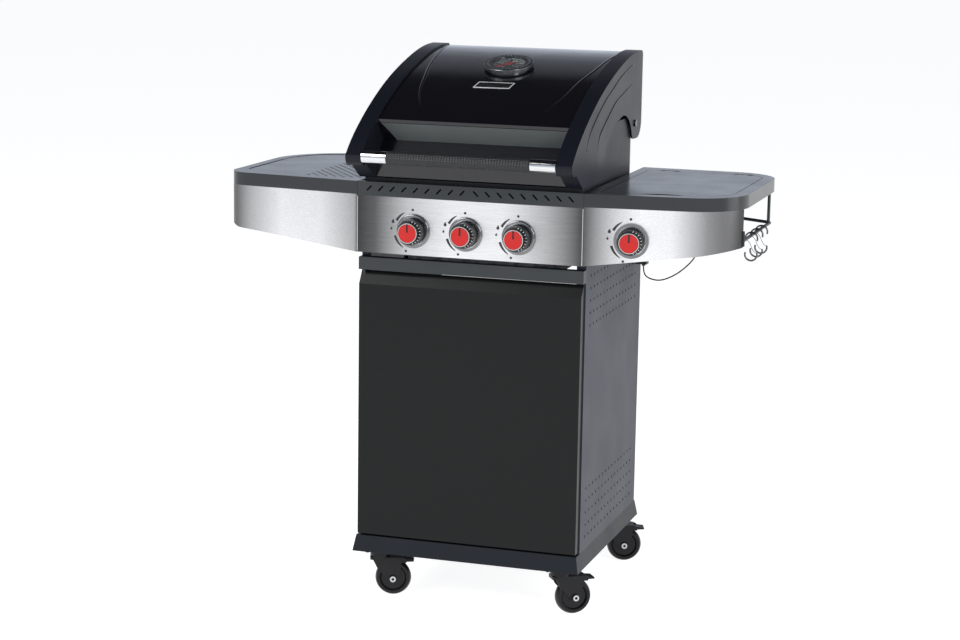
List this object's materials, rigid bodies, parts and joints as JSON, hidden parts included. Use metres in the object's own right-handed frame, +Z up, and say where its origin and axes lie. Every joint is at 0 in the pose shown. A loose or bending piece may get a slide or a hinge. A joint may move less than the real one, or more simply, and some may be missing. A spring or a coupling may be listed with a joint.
{
  "type": "gas barbecue grill",
  "caption": "Free-standing gas barbecue with a hinged hood, knobs on a steel panel, side shelves, a side burner under a flap, a cupboard with a door, and castors.",
  "frame": {"origin": "on the floor, under the middle of the grill's bounding box", "axes": "+Z up, -Y towards the cook in front of the door, +X to the cook's right"},
  "size_m": [1.0974, 0.5878, 1.1381],
  "materials": {
    "hood_enamel": "gloss black enamel",
    "hood_caps": "satin black-grey powder coat",
    "powder_black": "satin black powder coat",
    "shelf_coat": "satin charcoal powder coat",
    "side_coat": "satin slate grey powder coat",
    "door_coat": "smooth satin graphite coat",
    "stainless": "brushed along its length",
    "chrome": "polished",
    "grip": "woven grip sleeve",
    "knob_plastic": "gloss black with a red button",
    "cast_iron": "matt enamel",
    "burner_steel": "plain steel",
    "valve_metal": "cast",
    "dial": "polished bezel with a printed dial",
    "needle": "red lacquer",
    "castor_black": "satin black",
    "wheel_black": "gloss black",
    "lead_rubber": "smooth black sheath",
    "tray_zinc": "galvanised sheet",
    "hook_wire": "bright wire"
  },
  "bodies": {
    "cart": {"base_tray": "powder_black", "castor_plates": "castor_black", "left_side_panel": "side_coat", "right_side_panel": "side_coat", "rear_panel": "side_coat", "front_crossbar": "door_coat", "rear_crossbar": "side_coat", "firebox": "hood_caps", "hinge_brackets": "castor_black", "main_burners": "burner_steel", "flame_tamers": "burner_steel", "cooking_grate": "cast_iron", "warming_rack": "chrome", "control_panel": "stainless", "vent_strip": "powder_black", "knob_bezels": "chrome", "gas_manifold": "valve_metal", "left_shelf": "shelf_coat", "left_fascia": "stainless", "right_shelf": "shelf_coat", "right_fascia": "stainless", "side_burner": "burner_steel", "pot_support": "cast_iron", "tool_rail": "powder_black", "lead_socket": "knob_plastic", "igniter_lead": "lead_rubber"},
    "hood": {"lid_skin": "hood_enamel", "lid_cap_left": "hood_caps", "lid_cap_right": "hood_caps", "handle_tube": "chrome", "handle_grip": "grip", "thermometer_case": "dial", "lid_hinge_bolts": "castor_black"},
    "needle": {"thermometer_needle": "needle"},
    "door": {"door": "door_coat"},
    "burner_flap": {"side_burner_lid": "shelf_coat"},
    "drip_tray": {"drip_tray": "tray_zinc"},
    "stem_1": {"valve_stem_1": "valve_metal"},
    "knob_1": {"knob_1": "knob_plastic"},
    "stem_2": {"valve_stem_2": "valve_metal"},
    "knob_2": {"knob_2": "knob_plastic"},
    "stem_3": {"valve_stem_3": "valve_metal"},
    "knob_3": {"knob_3": "knob_plastic"},
    "stem_4": {"valve_stem_4": "valve_metal"},
    "knob_4": {"knob_4": "knob_plastic"},
    "castor_front_left": {"castor_fork_front_left": "castor_black"},
    "wheel_front_left": {"castor_wheel_front_left": "wheel_black"},
    "brake_front_left": {"castor_brake_front_left": "castor_black"},
    "castor_front_right": {"castor_fork_front_right": "castor_black"},
    "wheel_front_right": {"castor_wheel_front_right": "wheel_black"},
    "brake_front_right": {"castor_brake_front_right": "castor_black"},
    "castor_rear_left": {"castor_fork_rear_left": "castor_black"},
    "wheel_rear_left": {"castor_wheel_rear_left": "wheel_black"},
    "brake_rear_left": {"castor_brake_rear_left": "castor_black"},
    "castor_rear_right": {"castor_fork_rear_right": "castor_black"},
    "wheel_rear_right": {"castor_wheel_rear_right": "wheel_black"},
    "brake_rear_right": {"castor_brake_rear_right": "castor_black"},
    "hook_1": {"s_hook_1": "hook_wire"},
    "hook_2": {"s_hook_2": "hook_wire"},
    "hook_3": {"s_hook_3": "hook_wire"}
  },
  "joints": [
    {"name": "hood_hinge", "type": "hinge", "parent": "cart", "child": "hood", "pos_m": [-0.0037, 0.2031, 0.985], "axis": [-1, 0, 0], "range_deg": [0, 85]},
    {"name": "thermometer_needle_turn", "type": "hinge", "parent": "hood", "child": "needle", "pos_m": [-0.0037, 0.0481, 1.1045], "axis": [0, 0.2504, -0.9681], "range_deg": [0, 270], "stiffness_Nm_per_rad": 0.002},
    {"name": "door_hinge", "type": "hinge", "parent": "cart", "child": "door", "pos_m": [-0.2347, -0.1899, 0.138], "axis": [0, 0, -1], "range_deg": [0, 100]},
    {"name": "burner_flap_hinge", "type": "hinge", "parent": "cart", "child": "burner_flap", "pos_m": [0.3863, 0.2331, 0.88], "axis": [-1, 0, 0], "range_deg": [0, 95]},
    {"name": "drip_tray_slide", "type": "slide", "parent": "cart", "child": "drip_tray", "axis": [0, 1, 0], "range_m": [0, 0.3]},
    {"name": "knob_1_push", "type": "slide", "parent": "cart", "child": "stem_1", "axis": [0, 1, 0], "range_m": [0, 0.003], "stiffness_N_per_m": 400},
    {"name": "knob_1_turn", "type": "hinge", "parent": "stem_1", "child": "knob_1", "pos_m": [-0.1207, -0.2119, 0.787], "axis": [0, -1, 0], "range_deg": [0, 225]},
    {"name": "knob_2_push", "type": "slide", "parent": "cart", "child": "stem_2", "axis": [0, 1, 0], "range_m": [0, 0.003], "stiffness_N_per_m": 400},
    {"name": "knob_2_turn", "type": "hinge", "parent": "stem_2", "child": "knob_2", "pos_m": [-0.0087, -0.2119, 0.787], "axis": [0, -1, 0], "range_deg": [0, 225]},
    {"name": "knob_3_push", "type": "slide", "parent": "cart", "child": "stem_3", "axis": [0, 1, 0], "range_m": [0, 0.003], "stiffness_N_per_m": 400},
    {"name": "knob_3_turn", "type": "hinge", "parent": "stem_3", "child": "knob_3", "pos_m": [0.1033, -0.2119, 0.787], "axis": [0, -1, 0], "range_deg": [0, 225]},
    {"name": "knob_4_push", "type": "slide", "parent": "cart", "child": "stem_4", "axis": [-0.1172, 0.9931, 0], "range_m": [0, 0.003], "stiffness_N_per_m": 400},
    {"name": "knob_4_turn", "type": "hinge", "parent": "stem_4", "child": "knob_4", "pos_m": [0.3323, -0.20057, 0.793], "axis": [0.1172, -0.9931, 0], "range_deg": [0, 225]},
    {"name": "castor_front_left_swivel", "type": "hinge", "parent": "cart", "child": "castor_front_left", "pos_m": [-0.2017, -0.1719, 0.09], "axis": [0, 0, 1], "continuous": true},
    {"name": "wheel_front_left_roll", "type": "hinge", "parent": "castor_front_left", "child": "wheel_front_left", "pos_m": [-0.17507, -0.16325, 0.038], "axis": [-0.309, 0.9511, 0], "continuous": true},
    {"name": "brake_front_left_press", "type": "hinge", "parent": "castor_front_left", "child": "brake_front_left", "pos_m": [-0.15129, -0.15552, 0.076], "axis": [-0.309, 0.9511, 0], "range_deg": [0, 15]},
    {"name": "castor_front_right_swivel", "type": "hinge", "parent": "cart", "child": "castor_front_right", "pos_m": [0.1943, -0.1719, 0.09], "axis": [0, 0, 1], "continuous": true},
    {"name": "wheel_front_right_roll", "type": "hinge", "parent": "castor_front_right", "child": "wheel_front_right", "pos_m": [0.21724, -0.15584, 0.038], "axis": [-0.5736, 0.8192, 0], "continuous": true},
    {"name": "brake_front_right_press", "type": "hinge", "parent": "castor_front_right", "child": "brake_front_right", "pos_m": [0.23772, -0.1415, 0.076], "axis": [-0.5736, 0.8192, 0], "range_deg": [0, 15]},
    {"name": "castor_rear_left_swivel", "type": "hinge", "parent": "cart", "child": "castor_rear_left", "pos_m": [-0.2017, 0.2471, 0.09], "axis": [0, 0, 1], "continuous": true},
    {"name": "wheel_rear_left_roll", "type": "hinge", "parent": "castor_rear_left", "child": "wheel_rear_left", "pos_m": [-0.17745, 0.2611, 0.038], "axis": [-0.5, 0.866, 0], "continuous": true},
    {"name": "brake_rear_left_press", "type": "hinge", "parent": "castor_rear_left", "child": "brake_rear_left", "pos_m": [-0.1558, 0.2736, 0.076], "axis": [-0.5, 0.866, 0], "range_deg": [0, 15]},
    {"name": "castor_rear_right_swivel", "type": "hinge", "parent": "cart", "child": "castor_rear_right", "pos_m": [0.1943, 0.2471, 0.09], "axis": [0, 0, 1], "continuous": true},
    {"name": "wheel_rear_right_roll", "type": "hinge", "parent": "castor_rear_right", "child": "wheel_rear_right", "pos_m": [0.22093, 0.25575, 0.038], "axis": [-0.309, 0.9511, 0], "continuous": true},
    {"name": "brake_rear_right_press", "type": "hinge", "parent": "castor_rear_right", "child": "brake_rear_right", "pos_m": [0.24471, 0.26348, 0.076], "axis": [-0.309, 0.9511, 0], "range_deg": [0, 15]},
    {"name": "hook_1_swing", "type": "hinge", "parent": "cart", "child": "hook_1", "pos_m": [0.5343, 0.1001, 0.79], "axis": [0, 1, 0], "range_deg": [-55, 55]},
    {"name": "hook_2_swing", "type": "hinge", "parent": "cart", "child": "hook_2", "pos_m": [0.5343, 0.0501, 0.79], "axis": [0, 1, 0], "range_deg": [-55, 55]},
    {"name": "hook_3_swing", "type": "hinge", "parent": "cart", "child": "hook_3", "pos_m": [0.5343, -0.0049, 0.79], "axis": [0, 1, 0], "range_deg": [-55, 55]}
  ]
}
